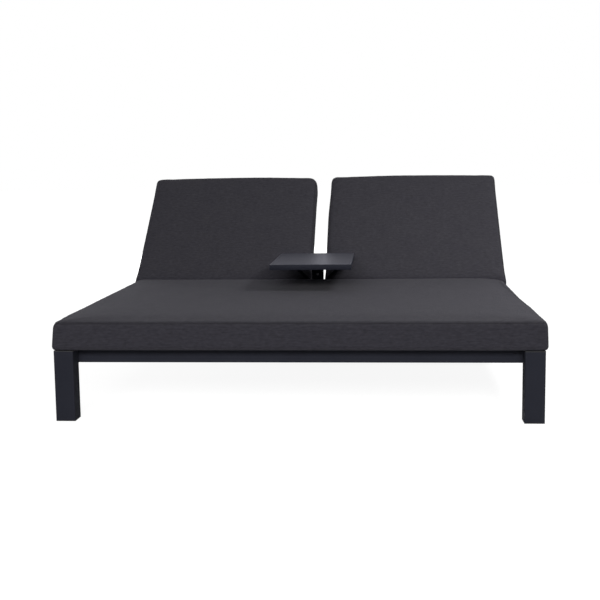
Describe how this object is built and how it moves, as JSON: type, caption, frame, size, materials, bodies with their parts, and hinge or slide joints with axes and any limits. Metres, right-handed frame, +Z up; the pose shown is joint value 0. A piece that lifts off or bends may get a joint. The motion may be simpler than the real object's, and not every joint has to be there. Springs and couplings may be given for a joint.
{
  "type": "double chaise lounger",
  "caption": "Chaise lounger for side-by-side seating: low metal frame, wide seat cushion, cushioned reclining backs on rack props, and a lift-off tray between the backs.",
  "frame": {"origin": "on the floor, in the middle of the lounger's length and width", "axes": "+X to the right seen from the foot end, +Y from the foot end to the head end, +Z up"},
  "size_m": [1.616, 2.03, 0.7661],
  "materials": {
    "frame_coat": "charcoal powder coat with a fine texture on aluminium tube",
    "tray_coat": "charcoal powder coat, satin, on aluminium sheet",
    "cushion_fabric": "charcoal melange outdoor weave over foam",
    "black_plastic": "moulded black plastic",
    "rubber_pad": "black rubber",
    "rack_metal": "charcoal powder coat",
    "steel_fastener": "stainless steel"
  },
  "bodies": {
    "frame": {"front_left_leg": "frame_coat", "front_right_leg": "frame_coat", "rear_left_leg": "frame_coat", "rear_right_leg": "frame_coat", "floor_glides": "black_plastic", "leg_caps": "black_plastic", "front_rail": "frame_coat", "rear_rail": "frame_coat", "left_side_rail": "frame_coat", "right_side_rail": "frame_coat", "front_centre_beam": "frame_coat", "rear_centre_beam": "frame_coat", "left_mid_rail": "frame_coat", "right_mid_rail": "frame_coat", "tray_post_socket": "frame_coat", "left_seat_slats": "frame_coat", "right_seat_slats": "frame_coat", "rack_rails": "frame_coat", "prop_racks": "rack_metal", "hinge_brackets": "frame_coat", "hinge_bolts": "steel_fastener", "hinge_nuts": "steel_fastener", "corner_brackets": "frame_coat", "corner_bolts": "steel_fastener", "back_rest_pads": "rubber_pad", "seat_cushion": "cushion_fabric"},
    "left_back": {"left_back_outer_tube": "frame_coat", "left_back_inner_tube": "frame_coat", "left_back_bottom_tube": "frame_coat", "left_back_prop_tube": "frame_coat", "left_back_top_tube": "frame_coat", "left_back_slats": "frame_coat", "left_back_tube_caps": "black_plastic", "left_hinge_bushes": "black_plastic", "left_prop_brackets": "frame_coat", "left_prop_rivets": "steel_fastener", "left_back_cushion": "cushion_fabric"},
    "left_prop": {"left_prop_arms": "frame_coat", "left_prop_foot_bar": "rack_metal", "left_prop_sleeves": "black_plastic"},
    "right_back": {"right_back_outer_tube": "frame_coat", "right_back_inner_tube": "frame_coat", "right_back_bottom_tube": "frame_coat", "right_back_prop_tube": "frame_coat", "right_back_top_tube": "frame_coat", "right_back_slats": "frame_coat", "right_back_tube_caps": "black_plastic", "right_hinge_bushes": "black_plastic", "right_prop_brackets": "frame_coat", "right_prop_rivets": "steel_fastener", "right_back_cushion": "cushion_fabric"},
    "right_prop": {"right_prop_arms": "frame_coat", "right_prop_foot_bar": "rack_metal", "right_prop_sleeves": "black_plastic"},
    "tray": {"tray_top": "tray_coat", "tray_post": "frame_coat", "tray_bracket": "frame_coat", "tray_runners": "frame_coat", "tray_screws": "steel_fastener"}
  },
  "joints": [
    {"name": "left_recline", "type": "hinge", "parent": "frame", "child": "left_back", "pos_m": [0, 0.287, 0.212], "axis": [1, 0, 0], "range_deg": [-39.5, 10.5]},
    {"name": "left_prop_fold", "type": "hinge", "parent": "left_back", "child": "left_prop", "pos_m": [0, 0.5262, 0.40918], "axis": [1, 0, 0], "range_deg": [-21, 79]},
    {"name": "right_recline", "type": "hinge", "parent": "frame", "child": "right_back", "pos_m": [0, 0.287, 0.212], "axis": [1, 0, 0], "range_deg": [-39.5, 10.5]},
    {"name": "right_prop_fold", "type": "hinge", "parent": "right_back", "child": "right_prop", "pos_m": [0, 0.5262, 0.40918], "axis": [1, 0, 0], "range_deg": [-21, 79]},
    {"name": "tray_lift", "type": "slide", "parent": "frame", "child": "tray", "axis": [0, 0, 1], "range_m": [0, 0.2]}
  ],
  "couplings": [
    {"joint": "left_prop_fold", "follows": "left_recline", "ratio": -2},
    {"joint": "right_prop_fold", "follows": "right_recline", "ratio": -2}
  ]
}
